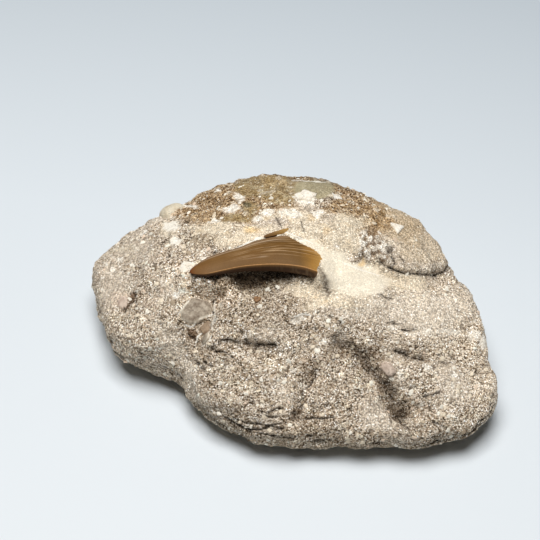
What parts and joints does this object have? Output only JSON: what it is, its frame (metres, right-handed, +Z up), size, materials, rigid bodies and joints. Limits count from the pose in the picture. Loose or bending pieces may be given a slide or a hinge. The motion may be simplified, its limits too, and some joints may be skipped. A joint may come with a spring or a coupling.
{
  "type": "fossil shark tooth in matrix",
  "caption": "Fossil shark tooth lying across the top of a rough, loaf-shaped lump of sandy matrix, with its root buried and shell and bone fragments set around it.",
  "frame": {"origin": "centre of the bounding box at the surface that the block rests on", "axes": "+Z up, +X along the block's longest side from the tooth's tip towards its root, +Y away from the sloping front face"},
  "size_m": [0.137, 0.1072, 0.0491],
  "materials": {
    "matrix_rock": "rough, granular",
    "tooth_enamel": "semi-gloss, finely striated",
    "fossil_bone": "satin",
    "shell_white": "matt, chalky",
    "pebble_cream": "smooth, matt",
    "grain_amber": "satin",
    "shell_pink": "satin"
  },
  "bodies": {
    "root": {"matrix_block": "matrix_rock", "shark_tooth": "tooth_enamel", "bone_plate": "fossil_bone", "lower_plate": "fossil_bone", "shell_disc": "fossil_bone", "white_flake": "shell_white", "back_chip": "shell_white", "corner_chip": "shell_white", "pale_pebble": "pebble_cream", "amber_grain": "grain_amber", "pink_shell": "shell_pink", "pink_pebble": "shell_pink"}
  },
  "joints": []
}
